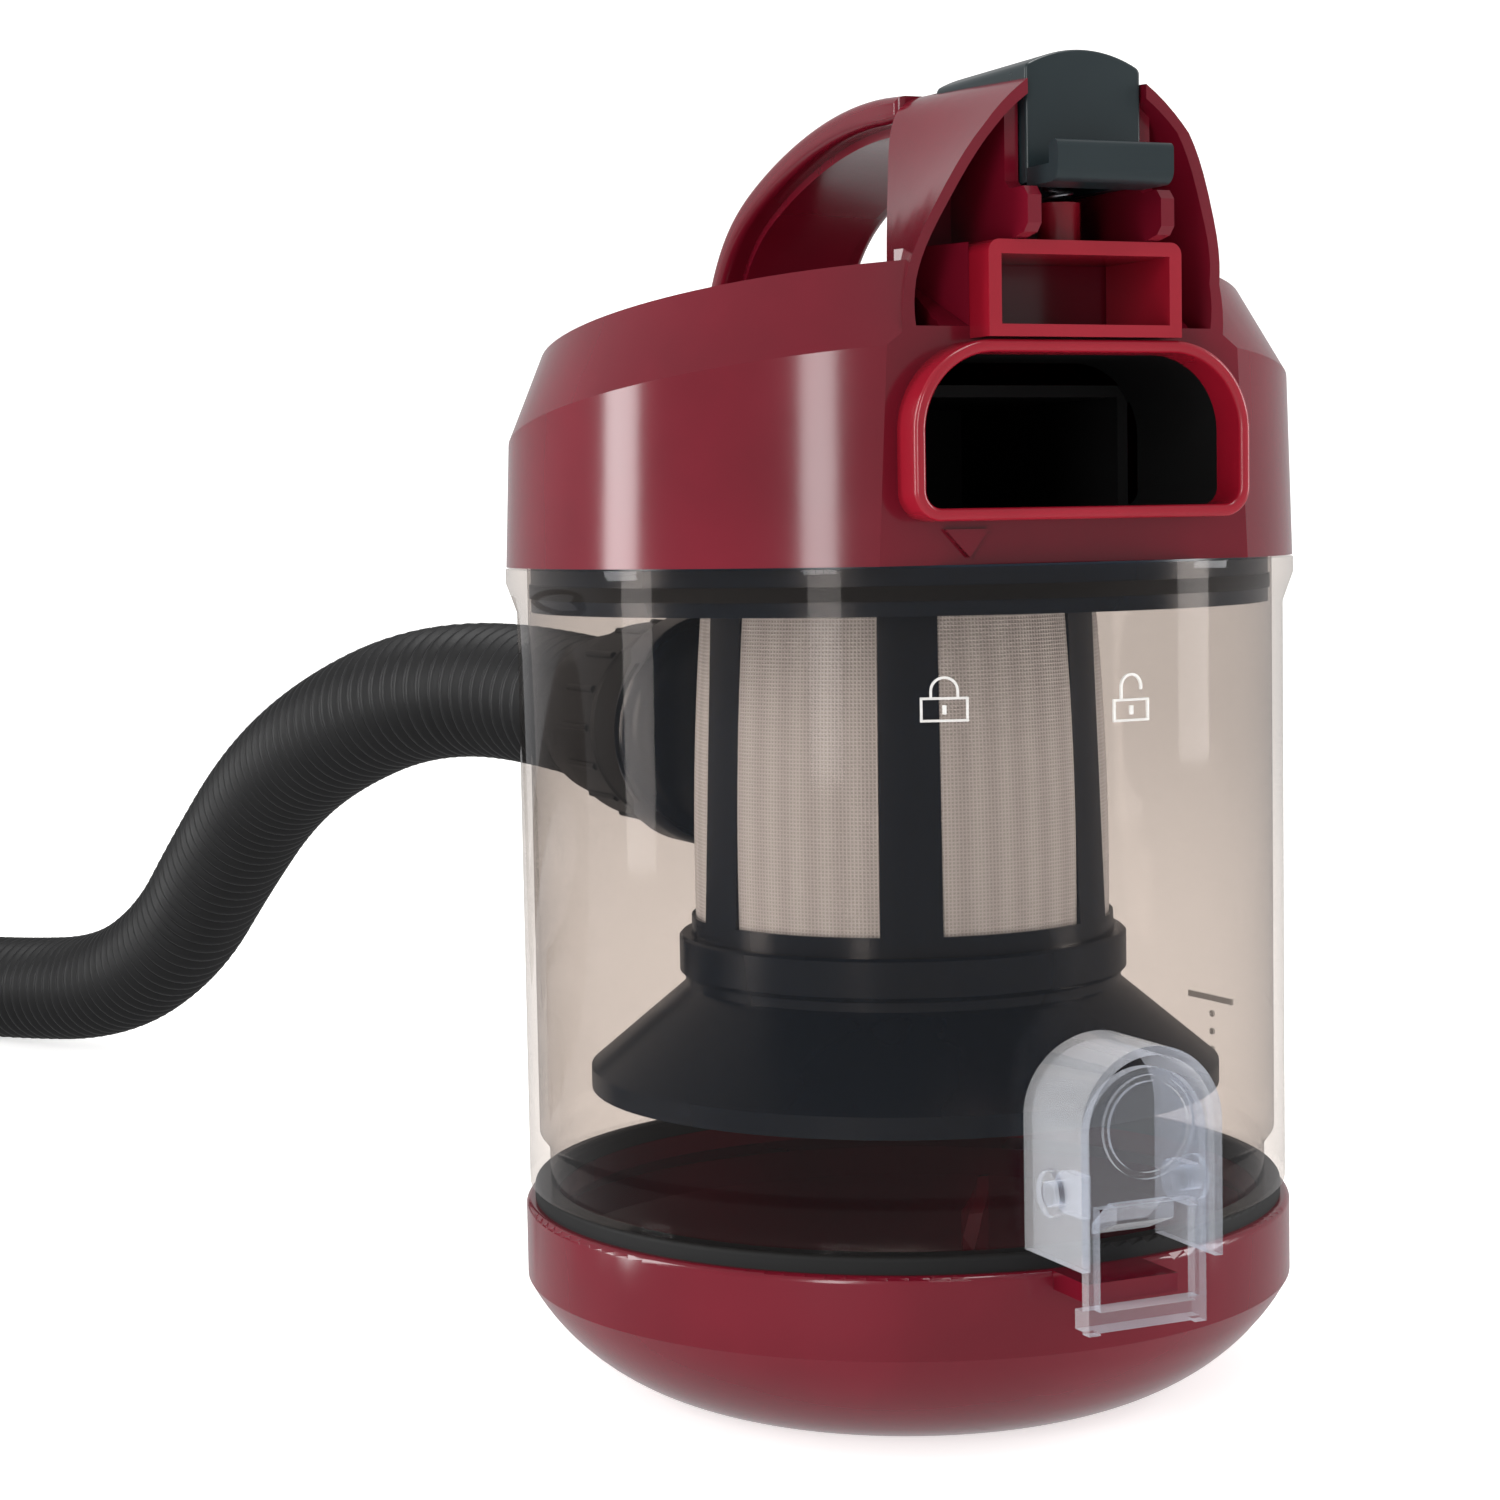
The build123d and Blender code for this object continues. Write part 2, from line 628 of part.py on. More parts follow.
with BuildPart() as head_shell:
    drum(0, 0)
    with BuildSketch(Plane.XY.offset(head_base_z - 12)):
        with Locations((0, dock_y - 30)):
            Rectangle(3 * bin_r, 60)
    extrude(amount=100, mode=Mode.SUBTRACT)
    # hood, narrowing to the rear
    with BuildSketch(front_wall.offset(-hood_front_y)):
        hood_arch(hood_half_w, hood_top_z, hood_foot_z, bowed)
    with BuildSketch(front_wall.offset(-hood_rear_y)):
        hood_arch(hood_rear_half_w, hood_rear_top_z, hood_foot_z, square)
    loft()
    # the hood's lower front runs back to the dock face
    with BuildSketch(Plane.YZ.offset(-60)):
        with BuildLine():
            Polyline((hood_front_y - 5, hood_foot_z - 11), (dock_y, hood_foot_z - 11),
                     (dock_y, hood_lean_z0),
                     (hood_front_y, hood_lean_z1), (hood_front_y - 5, hood_lean_z1),
                     (hood_front_y - 5, hood_foot_z - 11))
        make_face()
    extrude(amount=120, mode=Mode.SUBTRACT)
    # recess inside the hood
    with BuildSketch(front_wall.offset(-hood_front_y + 0.01)):
        hood_arch(inner_w, hood_top_z - hood_wall, recess_floor_z, bowed)
    with BuildSketch(front_wall.offset(-recess_back_y)):
        hood_arch(back_w, hood_top_z - hood_wall, recess_floor_z, bowed)
    loft(mode=Mode.SUBTRACT)
    for side in (-1, 1):
        # cheek beside the button, with a tooth that stands forwards at its foot
        with BuildSketch(Plane.YZ.offset(side * cheek_x - cheek_thick / 2)):
            with BuildLine():
                Polyline(
                    (recess_back_y + 1, tooth_z0), (recess_back_y + 1, cheek_top_z),
                    (cheek_front_y, cheek_top_z), (cheek_front_y, tooth_z1 + 1.6),
                    (cheek_front_y - 2, tooth_z1), (tooth_front_y + 1.6, tooth_z1),
                    (tooth_front_y, tooth_z1 - 1.8), (tooth_front_y, tooth_z0 + 2.6),
                    (tooth_front_y + 1.6, tooth_z0 + 1), (cheek_front_y - 2, tooth_z0),
                    (recess_back_y + 1, tooth_z0),
                )
            make_face()
        extrude(amount=cheek_thick)
        # ramp that rises to the back of the recess, and the gusset beside the pocket frame
        ramp_x = frame_half_w + fit_gap if side > 0 else -ramp_reach
        with BuildSketch(Plane.YZ.offset(ramp_x)):
            with BuildLine():
                Polyline((dock_y, recess_floor_z - 1), (recess_back_y + 1, recess_floor_z - 1),
                         (recess_back_y + 1, recess_floor_z + ramp_rise), (dock_y, recess_floor_z),
                         (dock_y, recess_floor_z - 1))
            make_face()
        extrude(amount=ramp_reach - frame_half_w - fit_gap)
        with BuildSketch(Plane.XY.offset(recess_floor_z - 1)):
            with BuildLine():
                Polyline((side * (frame_half_w + fit_gap), dock_y),
                         (side * (frame_half_w + fit_gap), recess_back_y + 1),
                         (side * (frame_half_w + fit_gap + gusset_w), recess_back_y + 1),
                         (side * (frame_half_w + fit_gap), dock_y))
            make_face()
        extrude(amount=frame_top_z - recess_floor_z + 1)
    # slot for the release button
    with BuildSketch(Plane.XY.offset(button_z0 - 6)):
        with Locations((0, (button_rear_y + 1.5 + slot_front_y) / 2)):
            Rectangle(2 * (button_half_w + clear), button_rear_y + 1.5 - slot_front_y)
    extrude(amount=60, mode=Mode.SUBTRACT)
    # hollow of the pillar behind the recess, open to the inside of the head
    with BuildSketch(Plane.XY.offset(head_base_z + 18)):
        with Locations((0, recess_back_y + 10)):
            Rectangle(22, 13)
    extrude(amount=button_z0 - 9 - head_base_z - 18, mode=Mode.SUBTRACT)
    add(head_hollow.part, mode=Mode.SUBTRACT)
    # mouth for the outlet duct
    with BuildSketch(front_wall.offset(-dock_y - 16)):
        duct_outline(0)
    extrude(amount=40, mode=Mode.SUBTRACT)
    # bores for the button's pin
    with BuildSketch(Plane.YZ.offset(-button_half_w - 4)):
        with Locations((button_pin_y, button_pin_z)):
            Circle(button_pin_r)
    extrude(amount=2 * button_half_w + 8, mode=Mode.SUBTRACT)
    # pointer that shows the lock position
    with BuildSketch(front_wall.offset(-dock_y - 0.01)):
        with BuildLine():
            Polyline((-28.5, head_base_z + 7), (-18.7, head_base_z + 7),
                     (-23.1, head_base_z + 1.4), (-28.5, head_base_z + 7))
        make_face()
    extrude(amount=pointer_depth)
keep(head_shell, "head_shell")

bezel_back_y = duct_front_y + bezel_depth

with BuildPart() as outlet_bezel:
    with BuildSketch(front_wall.offset(-bezel_back_y)):
        duct_outline(0)
        duct_outline(duct_wall, mode=Mode.SUBTRACT)
    extrude(amount=bezel_depth)
    fillet(outlet_bezel.faces().sort_by(Axis.Y)[0].edges(), bezel_round)
keep(outlet_bezel, "outlet_bezel")

with BuildPart() as outlet_duct:
    with BuildSketch(front_wall.offset(-plenum_front_y)):
        duct_outline(0)
    extrude(amount=plenum_front_y - bezel_back_y)
    with BuildSketch(front_wall.offset(-plenum_rear_y)):
        with Locations((0, (duct_z0 + plenum_top_z) / 2)):
            Rectangle(2 * plenum_half_w, plenum_top_z - duct_z0)
    extrude(amount=plenum_rear_y - plenum_front_y)
    with BuildSketch(front_wall.offset(-plenum_front_y - 1)):
        duct_outline(duct_wall)
    extrude(amount=plenum_front_y - duct_front_y + 2, mode=Mode.SUBTRACT)
    with BuildSketch(front_wall.offset(-plenum_rear_y + duct_wall)):
        with Locations((0, (duct_z0 + plenum_top_z) / 2)):
            Rectangle(2 * (plenum_half_w - duct_wall), plenum_top_z - duct_z0 - 2 * duct_wall)
    extrude(amount=plenum_rear_y - plenum_front_y, mode=Mode.SUBTRACT)
    with BuildSketch(Plane.XY.offset(head_base_z)):
        Circle(seat_hole_r + 1)
    extrude(amount=20, mode=Mode.SUBTRACT)
    with BuildSketch(Plane.XY.offset(head_base_z + seat_thick)):
        Circle(seat_hole_r + 3)
        Circle(seat_hole_r + 1, mode=Mode.SUBTRACT)
    extrude(amount=duct_z0 + duct_wall - head_base_z - seat_thick)
keep(outlet_duct, "outlet_duct")

# ---------------------------------------------------------------- plate that seats the filter
seat_r = head_base_r - head_wall - 0.6
lip_r = bin_in_r - 2 * clear
lip_z0 = head_base_z - seat_lip_h
seal_z0 = lip_z0 + 3.0

with BuildPart() as filter_seat:
    with BuildSketch(Plane.XY.offset(head_base_z)):
        Circle(seat_r)
        Circle(seat_hole_r, mode=Mode.SUBTRACT)
    extrude(amount=seat_thick)
    with BuildSketch(Plane.XY.offset(head_base_z)):
        with Locations((0, dock_y + head_wall - 30)):
            Rectangle(3 * bin_r, 60)
    extrude(amount=seat_thick, mode=Mode.SUBTRACT)
    # lip that enters the bin, with a groove for the seal
    with BuildSketch(Plane.XY.offset(lip_z0)):
        Circle(lip_r)
        Circle(lip_r - seat_lip_wall, mode=Mode.SUBTRACT)
    extrude(amount=seat_lip_h)
    with BuildSketch(Plane.XY.offset(seal_z0)):
        Circle(lip_r + 1)
        Circle(lip_r - seal_depth, mode=Mode.SUBTRACT)
    extrude(amount=seal_h, mode=Mode.SUBTRACT)
    with BuildSketch(Plane.XY.offset(head_base_z)):
        with PolarLocations(seat_screw_circle, 4, start_angle=45):
            Circle(seat_screw_r)
    extrude(amount=seat_thick, mode=Mode.SUBTRACT)
keep(filter_seat, "filter_seat")

with BuildPart() as seat_screws:
    with BuildSketch(Plane.XY.offset(head_base_z)):
        with PolarLocations(seat_screw_circle, 4, start_angle=45):
            Circle(seat_screw_r)
    extrude(amount=seat_thick + 6)
    with BuildSketch(Plane.XY.offset(head_base_z - 1.8)):
        with PolarLocations(seat_screw_circle, 4, start_angle=45):
            Circle(2 * seat_screw_r)
    extrude(amount=1.8)
keep(seat_screws, "seat_screws")

with BuildPart() as head_seal:
    with BuildSketch(Plane.XY.offset(seal_z0)):
        Circle(lip_r + clear)
        Circle(lip_r - seal_depth, mode=Mode.SUBTRACT)
    extrude(amount=seal_h)
keep(head_seal, "head_seal")

# ---------------------------------------------------------------- pocket frame under the button
frame_z0 = recess_floor_z
frame_back_y = recess_back_y - 1.0

with BuildPart() as button_frame:
    with BuildSketch(front_wall.offset(-frame_back_y)):
        with Locations((0, (frame_z0 + frame_top_z) / 2)):
            Rectangle(2 * frame_half_w, frame_top_z - frame_z0)
        with Locations((0, (frame_z0 + frame_top_z - frame_wall) / 2)):
            Rectangle(2 * (frame_half_w - frame_wall), frame_top_z - frame_wall - frame_z0,
                      mode=Mode.SUBTRACT)
    extrude(amount=frame_back_y - frame_front_y)
    # foot that carries the frame over the air outlet
    with BuildSketch(front_wall.offset(-dock_y)):
        with Locations((0, frame_z0 - frame_foot_h / 2)):
            Rectangle(2 * frame_half_w, frame_foot_h)
    extrude(amount=dock_y - frame_front_y)
    # rounded upper corners of the pocket
    fillet(button_frame.edges().filter_by(Axis.Y).group_by(Axis.Z)[-1], frame_wall - 0.4)
    # post round the spring
    with BuildSketch(Plane.XY.offset(frame_top_z - 0.5)):
        with Locations((0, spring_y)):
            Circle(spring_r + spring_wire_r + clear + post_wall)
            Circle(spring_r + spring_wire_r + clear, mode=Mode.SUBTRACT)
    extrude(amount=post_top_z - frame_top_z + 0.5)
keep(button_frame, "button_frame")

# ---------------------------------------------------------------- handle
grip_len = head_top_r - hood_rear_y - 9.5
grip_foot_z = hood_rear_top_z - 67.6


def grip_line(drop):
    """Points along the arched grip, a distance under its outer line, from the hood rearwards."""
    arch = [(8, 0, 0), (26, -0.2, 4), (50, -4, 12), (71, -10.4, 20), (88, -19.2, 34),
            (99, -31.6, 58), (104.5, -46.6, 78)]
    points = []
    for reach, height, lean in arch:
        turn = math.radians(lean)
        points.append((hood_rear_y + reach * grip_len / 106 - drop * math.sin(turn),
                       hood_rear_top_z + height - drop * math.cos(turn)))
    return points


outer_line = grip_line(0)
under_line = grip_line(grip_thick)
strip_line = list(reversed(grip_line(grip_thick + underside_thick)))
foot_outer = (outer_line[-1][0] + 1.5, grip_foot_z)
foot_inner = (foot_outer[0] - grip_thick, grip_foot_z)
grip_root = (hood_rear_y, hood_rear_top_z - grip_thick)

with BuildPart() as handle_grip:
    with BuildSketch(Plane.YZ.offset(-grip_half_w)):
        with BuildLine():
            Line((hood_rear_y, hood_rear_top_z - 0.6), outer_line[0])
            Spline(*outer_line)
            Polyline(outer_line[-1], foot_outer, foot_inner, under_line[-1])
            Spline(*under_line)
            Polyline(under_line[0], grip_root, (hood_rear_y, hood_rear_top_z - 0.6))
        make_face()
    extrude(amount=2 * grip_half_w)
    fillet(handle_grip.faces().sort_by(Axis.X)[0].edges(), grip_round)
    fillet(handle_grip.faces().sort_by(Axis.X)[-1].edges(), grip_round)
    split(bisect_by=top_plane, keep=Keep.TOP)
keep(handle_grip, "handle_grip")

# strip that closes the underside of the grip
with BuildPart() as grip_underside:
    with BuildSketch(Plane.YZ.offset(-underside_half_w)):
        with BuildLine():
            Spline(*under_line)
            Line(under_line[-1], strip_line[0])
            Spline(*strip_line)
            Line(strip_line[-1], under_line[0])
        make_face()
    extrude(amount=2 * underside_half_w)
    split(bisect_by=top_plane.offset(0.5), keep=Keep.TOP)
keep(grip_underside, "grip_underside")

# ---------------------------------------------------------------- release button
button_side_z = button_z1 - button_crown
pocket_rear_y = dock_y + 18.0
pocket_front_y = button_front_y + 4.0

with BuildPart() as release_button:
    # crowned block with a crisp front
    with BuildSketch(front_wall.offset(-button_rear_y)):
        with BuildLine():
            Polyline((-button_half_w, button_side_z), (-button_half_w, button_z0),
                     (button_half_w, button_z0), (button_half_w, button_side_z))
            ThreePointArc((button_half_w, button_side_z), (0, button_z1), (-button_half_w, button_side_z))
        make_face()
    extrude(amount=button_rear_y - button_front_y)
    fillet(release_button.edges().filter_by(Axis.Y).group_by(Axis.Z)[-1], 1.6)
    fillet(release_button.faces().sort_by(Axis.Y)[0].edges(), 0.7)
    chamfer(release_button.faces().sort_by(Axis.Y)[-1].edges().group_by(Axis.Z)[0], 4)
    with BuildSketch(Plane.YZ.offset(-button_half_w - 1)):
        with Locations((button_pin_y, button_pin_z)):
            Circle(button_pin_r + pin_clear)
    extrude(amount=2 * button_half_w + 2, mode=Mode.SUBTRACT)
    # hollow underside round the spring
    with BuildSketch(Plane.XY.offset(button_z0 - 1)):
        with Locations((0, (pocket_front_y + pocket_rear_y) / 2)):
            Rectangle(2 * button_half_w - 5, pocket_rear_y - pocket_front_y)
    extrude(amount=spring_pocket_h + 1, mode=Mode.SUBTRACT)
keep(release_button, "release_button")

with BuildPart() as release_hook:
    # J-shaped bar: it runs forwards from the button's foot and turns up at the front
    with BuildSketch(Plane.YZ.offset(-hook_half_w)):
        with BuildLine():
            Polyline(
                (button_front_y, hook_z0), (hook_front_y, hook_z0), (hook_front_y, hook_z0 + hook_h),
                (hook_front_y + hook_lip, hook_z0 + hook_h), (hook_front_y + hook_lip, hook_z0 + hook_floor),
                (button_front_y, hook_z0 + hook_floor), (button_front_y, hook_z0),
            )
        make_face()
    extrude(amount=2 * hook_half_w)
    front_edges = release_hook.edges().filter_by(Axis.X).group_by(Axis.Y)[0]
    fillet(front_edges.sort_by(Axis.Z)[0], 2 * hook_round)
    fillet(release_hook.edges().filter_by(Axis.X).group_by(Axis.Z)[-1], hook_round)
keep(release_hook, "release_hook")

with BuildPart() as button_pin:
    with BuildSketch(Plane.YZ.offset(-button_half_w - 4)):
        with Locations((button_pin_y, button_pin_z)):
            Circle(button_pin_r)
    extrude(amount=2 * button_half_w + 8)
keep(button_pin, "button_pin")

spring_z0 = frame_top_z
spring_z1 = button_z0 + spring_pocket_h - 0.2
spring_pitch = (spring_z1 - spring_z0 - 2 * spring_wire_r) / spring_turns
with BuildPart() as button_spring:
    with BuildLine() as coil:
        Helix(spring_pitch, spring_pitch * spring_turns, spring_r,
              center=(0, spring_y, spring_z0 + spring_wire_r + 0.1))
    with BuildSketch(Plane(origin=coil.line @ 0, z_dir=coil.line % 0)):
        Circle(spring_wire_r)
    sweep(is_frenet=True)
keep(button_spring, "button_spring")

# ---------------------------------------------------------------- filter
def cage_radius(z):
    """Outer radius of the slightly tapered cage."""
    return cage_bottom_r + (cage_top_r - cage_bottom_r) * (z - cage_z0) / (cage_z1 - cage_z0)


rib_angle = math.degrees(rib_w / cage_radius((cage_z0 + cage_z1) / 2))
step = 360 / rib_count
window_first = rib_first + rib_angle / 2
window_span = step - rib_angle
cut_in_r = cage_top_r - 8.5
cut_out_r = cage_bottom_r + 7.5

with BuildPart() as filter_cage:
    with BuildSketch(Plane.XZ):
        with BuildLine():
            Polyline(
                (cage_radius(cage_z0) - cage_wall, cage_z0), (cage_radius(cage_z0), cage_z0),
                (cage_radius(cage_z1), cage_z1), (spigot_r - spigot_wall, cage_z1),
                (spigot_r - spigot_wall, cage_z1 - 2.4),
                (cage_radius(cage_z1) - cage_wall, cage_z1 - 2.4),
                (cage_radius(cage_z0) - cage_wall, cage_z0),
            )
        make_face()
    revolve(axis=Axis.Z)
    with BuildSketch(Plane.XY.offset(cage_z1)):
        Circle(spigot_r)
        Circle(spigot_r - spigot_wall, mode=Mode.SUBTRACT)
    extrude(amount=spigot_h)
    for k in range(rib_count):
        with BuildSketch(Plane.XZ.rotated((0, 0, window_first + k * step))):
            with BuildLine():
                Polyline((cut_in_r, window_z0), (cut_out_r, window_z0), (cut_out_r, window_z1),
                         (cut_in_r, window_z1), (cut_in_r, window_z0))
            make_face()
        revolve(axis=Axis.Z, revolution_arc=window_span, mode=Mode.SUBTRACT)
keep(filter_cage, "filter_cage")

panel_gap = 0.15            # degrees left at each side of a mesh panel
for k in range(rib_count):
    with BuildPart() as mesh_panel:
        with BuildSketch(Plane.XZ.rotated((0, 0, window_first + panel_gap + k * step))):
            with BuildLine():
                low_r = cage_radius(window_z0) - mesh_bulge
                high_r = cage_radius(window_z1) - mesh_bulge
                mid_r = (low_r + high_r) / 2 + mesh_bulge
                mid_z = (window_z0 + window_z1) / 2
                ThreePointArc((low_r, window_z0), (mid_r, mid_z), (high_r, window_z1))
                Line((high_r, window_z1), (high_r - mesh_thick, window_z1))
                ThreePointArc((high_r - mesh_thick, window_z1), (mid_r - mesh_thick, mid_z),
                              (low_r - mesh_thick, window_z0))
                Line((low_r - mesh_thick, window_z0), (low_r, window_z0))
            make_face()
        revolve(axis=Axis.Z, revolution_arc=window_span - 2 * panel_gap)
    keep(mesh_panel, f"mesh_panel_{k + 1}")

cartridge_z0 = cage_z0 + cartridge_cap_h
cartridge_z1 = cage_z1 - 2.6 - cartridge_cap_h
star = []
for k in range(2 * pleat_count):
    reach = cartridge_r if k % 2 == 0 else cartridge_root_r
    turn = math.pi * k / pleat_count
    star.append((reach * math.cos(turn), reach * math.sin(turn)))

with BuildPart() as pleated_cartridge:
    with BuildSketch(Plane.XY.offset(cartridge_z0)):
        with BuildLine():
            Polyline(*star, close=True)
        make_face()
        Circle(cartridge_bore_r, mode=Mode.SUBTRACT)
    extrude(amount=cartridge_z1 - cartridge_z0)
keep(pleated_cartridge, "pleated_cartridge")

with BuildPart() as cartridge_top:
    with BuildSketch(Plane.XY.offset(cartridge_z1)):
        Circle(cartridge_r + 1)
        Circle(spigot_r - spigot_wall, mode=Mode.SUBTRACT)
    extrude(amount=cartridge_cap_h)
keep(cartridge_top, "cartridge_top")

with BuildPart() as cartridge_foot:
    with BuildSketch(Plane.XY.offset(cage_z0)):
        Circle(cartridge_r + 1)
    extrude(amount=cartridge_cap_h)
keep(cartridge_foot, "cartridge_foot")

with BuildPart() as filter_collar:
    # shallow cup that closes the cage from below
    with BuildSketch(Plane.XZ):
        with BuildLine():
            Polyline(
                (0, collar_z0), (collar_r - 1.2, collar_z0), (collar_r, collar_z0 + 1.2),
                (collar_r, cage_z0 - 0.6), (collar_r - 0.6, cage_z0),
                (0, cage_z0), (0, cage_z0 - 2.4), (collar_r - 3, cage_z0 - 2.4),
                (collar_r - 3, collar_z0 + 2.2), (0, collar_z0 + 2.2), (0, collar_z0),
            )
        make_face()
    revolve(axis=Axis.Z)
keep(filter_collar, "filter_collar")

with BuildPart() as filter_skirt:
    with BuildSketch(Plane.XZ):
        with BuildLine():
            Polyline(
                (skirt_top_r - 6, collar_z0), (skirt_top_r, collar_z0), (skirt_top_r, collar_z0 - 2),
                (skirt_r, skirt_rim_z1), (skirt_r, skirt_rim_z0), (skirt_r - skirt_wall, skirt_rim_z0),
                (skirt_r - skirt_wall, skirt_rim_z1 - 1), (skirt_top_r - skirt_wall, collar_z0 - 3),
                (skirt_top_r - 6, collar_z0 - 3), (skirt_top_r - 6, collar_z0),
            )
        make_face()
    revolve(axis=Axis.Z)
keep(filter_skirt, "filter_skirt")
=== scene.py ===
import math

import bmesh
import bpy
from mathutils import Matrix, Vector


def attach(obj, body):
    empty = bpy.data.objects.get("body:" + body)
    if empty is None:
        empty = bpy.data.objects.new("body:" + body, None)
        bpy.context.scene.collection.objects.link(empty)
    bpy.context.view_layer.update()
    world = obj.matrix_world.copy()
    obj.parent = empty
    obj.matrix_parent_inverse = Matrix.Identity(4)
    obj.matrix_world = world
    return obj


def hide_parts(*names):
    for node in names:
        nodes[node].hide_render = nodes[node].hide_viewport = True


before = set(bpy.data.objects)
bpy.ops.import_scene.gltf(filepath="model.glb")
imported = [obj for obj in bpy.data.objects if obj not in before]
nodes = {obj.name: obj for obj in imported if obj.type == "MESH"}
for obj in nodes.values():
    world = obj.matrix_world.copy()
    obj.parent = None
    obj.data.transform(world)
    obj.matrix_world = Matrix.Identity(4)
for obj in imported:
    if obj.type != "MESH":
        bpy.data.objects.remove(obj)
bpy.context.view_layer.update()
MM = 0.001


# ------------------------------------------------------------------ camera and studio
# A long lens at the height of the head's foot, turned 24 degrees off the dock side, over a pale
# paper sweep that glows a little to stay white, with four soft lights.
camera_data = bpy.data.cameras.new("camera")
camera_data.lens = 72.64
camera_data.sensor_width = 36.0
camera_data.clip_start = 0.05
camera = bpy.data.objects.new("camera", camera_data)
bpy.context.scene.collection.objects.link(camera)
camera_turn = math.radians(-24.163)
camera_drop = math.radians(4.380)
camera_roll = math.radians(-1.0155)
camera.matrix_world = (
    Matrix.Translation((-0.3083, -0.6051, 0.1921))
    @ Matrix.Rotation(camera_turn, 4, "Z")
    @ Matrix.Rotation(math.pi / 2 - camera_drop, 4, "X")
    @ Matrix.Rotation(camera_roll, 4, "Z")
)
bpy.context.scene.camera = camera


def linear(code):
    """Linear RGBA of an sRGB hex colour."""
    parts = [int(code[i:i + 2], 16) / 255 for i in (0, 2, 4)]
    return [p / 12.92 if p <= 0.04045 else ((p + 0.055) / 1.055) ** 2.4 for p in parts] + [1.0]


def new_material(name):
    """An empty node material with its output: returns the material, its tree and the output."""
    material = bpy.data.materials.new(name)
    material.use_nodes = True
    tree = material.node_tree
    tree.nodes.clear()
    return material, tree, tree.nodes.new("ShaderNodeOutputMaterial")


def add_node(tree, kind, settings=None, values=None, links=None):
    """Add a node, set its properties and sockets, and link sockets to other nodes' outputs."""
    node = tree.nodes.new(kind)
    for key, value in (settings or {}).items():
        setattr(node, key, value)
    for key, value in (values or {}).items():
        node.inputs[key].default_value = value
    for key, output in (links or {}).items():
        tree.links.new(output, node.inputs[key])
    return node


def add_piece(name, mesh_source, material, body):
    """Turn a bmesh into a smooth-shaded piece that rides on a body."""
    mesh = bpy.data.meshes.new(name)
    mesh_source.to_mesh(mesh)
    mesh_source.free()
    mesh.polygons.foreach_set("use_smooth", [True] * len(mesh.polygons))
    mesh.materials.append(material)
    piece = bpy.data.objects.new(name, mesh)
    bpy.context.scene.collection.objects.link(piece)
    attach(piece, body)
    return piece


def crisp_edges(piece, angle):
    """Break the smooth shading at edges that turn by more than an angle in degrees."""
    edges = piece.modifiers.new("edges", "EDGE_SPLIT")
    edges.split_angle = math.radians(angle)


def finish_node(name, material, angle=20):
    """Give a CAD node its material, welded smooth faces and crisp edges."""
    piece = nodes[name]
    piece.data.materials.clear()
    piece.data.materials.append(material)
    piece.data.polygons.foreach_set("use_smooth", [True] * len(piece.data.polygons))
    weld = piece.modifiers.new("weld", "WELD")
    weld.merge_threshold = 0.00001
    crisp_edges(piece, angle)
    return piece


studio, tree, out = new_material("studio_paper")
paper = add_node(tree, "ShaderNodeBsdfPrincipled", None,
                 {"Base Color": linear("f4f3f1"), "Roughness": 0.7,
                  "Emission Color": linear("ffffff"), "Emission Strength": 0.62})
tree.links.new(paper.outputs[0], out.inputs[0])
sweep = bmesh.new()
near = [sweep.verts.new((x, -3.0, 0.0)) for x in (-8.0, 8.0)]
edge = sweep.edges.new(near)
for step in [(0, 6, 0), (0, 0.6, 0.2), (0, 0.5, 0.5), (0, 0.2, 0.6), (0, 0, 3)]:
    made = bmesh.ops.extrude_edge_only(sweep, edges=[edge])["geom"]
    edge = next(part for part in made if isinstance(part, bmesh.types.BMEdge))
    bmesh.ops.translate(sweep, verts=edge.verts[:], vec=step)
bmesh.ops.recalc_face_normals(sweep, faces=sweep.faces[:])
floor_mesh = bpy.data.meshes.new("studio_floor")
sweep.to_mesh(floor_mesh)
sweep.free()
floor_mesh.polygons.foreach_set("use_smooth", [True] * len(floor_mesh.polygons))
floor_mesh.materials.append(studio)
floor = bpy.data.objects.new("studio_floor", floor_mesh)
bpy.context.scene.collection.objects.link(floor)
# the glowing paper would show as white glare on the glossy head
floor.visible_glossy = False


def softbox(name, place, target, size, power):
    """A rectangular soft light at a place, facing a target."""
    data = bpy.data.lights.new(name, "AREA")
    data.shape = "RECTANGLE"
    data.size, data.size_y = size
    data.energy = power
    lamp = bpy.data.objects.new(name, data)
    bpy.context.scene.collection.objects.link(lamp)
    turn = (Vector(target) - Vector(place)).to_track_quat("-Z", "Y")
    lamp.matrix_world = Matrix.Translation(place) @ turn.to_matrix().to_4x4()
    return lamp


softbox("left_box", (-1.25, 0.45, 0.45), (0, 0, 0.18), (0.3, 1.0), 10)
softbox("front_box", (-1.05, -0.95, 0.5), (0, 0, 0.18), (0.25, 1.0), 8)
softbox("right_box", (1.4, -0.5, 0.5), (0, 0, 0.15), (0.4, 1.0), 11)
softbox("top_box", (0.1, -0.1, 1.7), (0, 0, 0.1), (0.7, 0.7), 14)
world = bpy.data.worlds.new("studio")
world.use_nodes = True
world.node_tree.nodes["Background"].inputs[0].default_value = linear("fbfbfc")
world.node_tree.nodes["Background"].inputs[1].default_value = 0.55
bpy.context.scene.world = world
bpy.context.scene.view_settings.view_transform = "Standard"


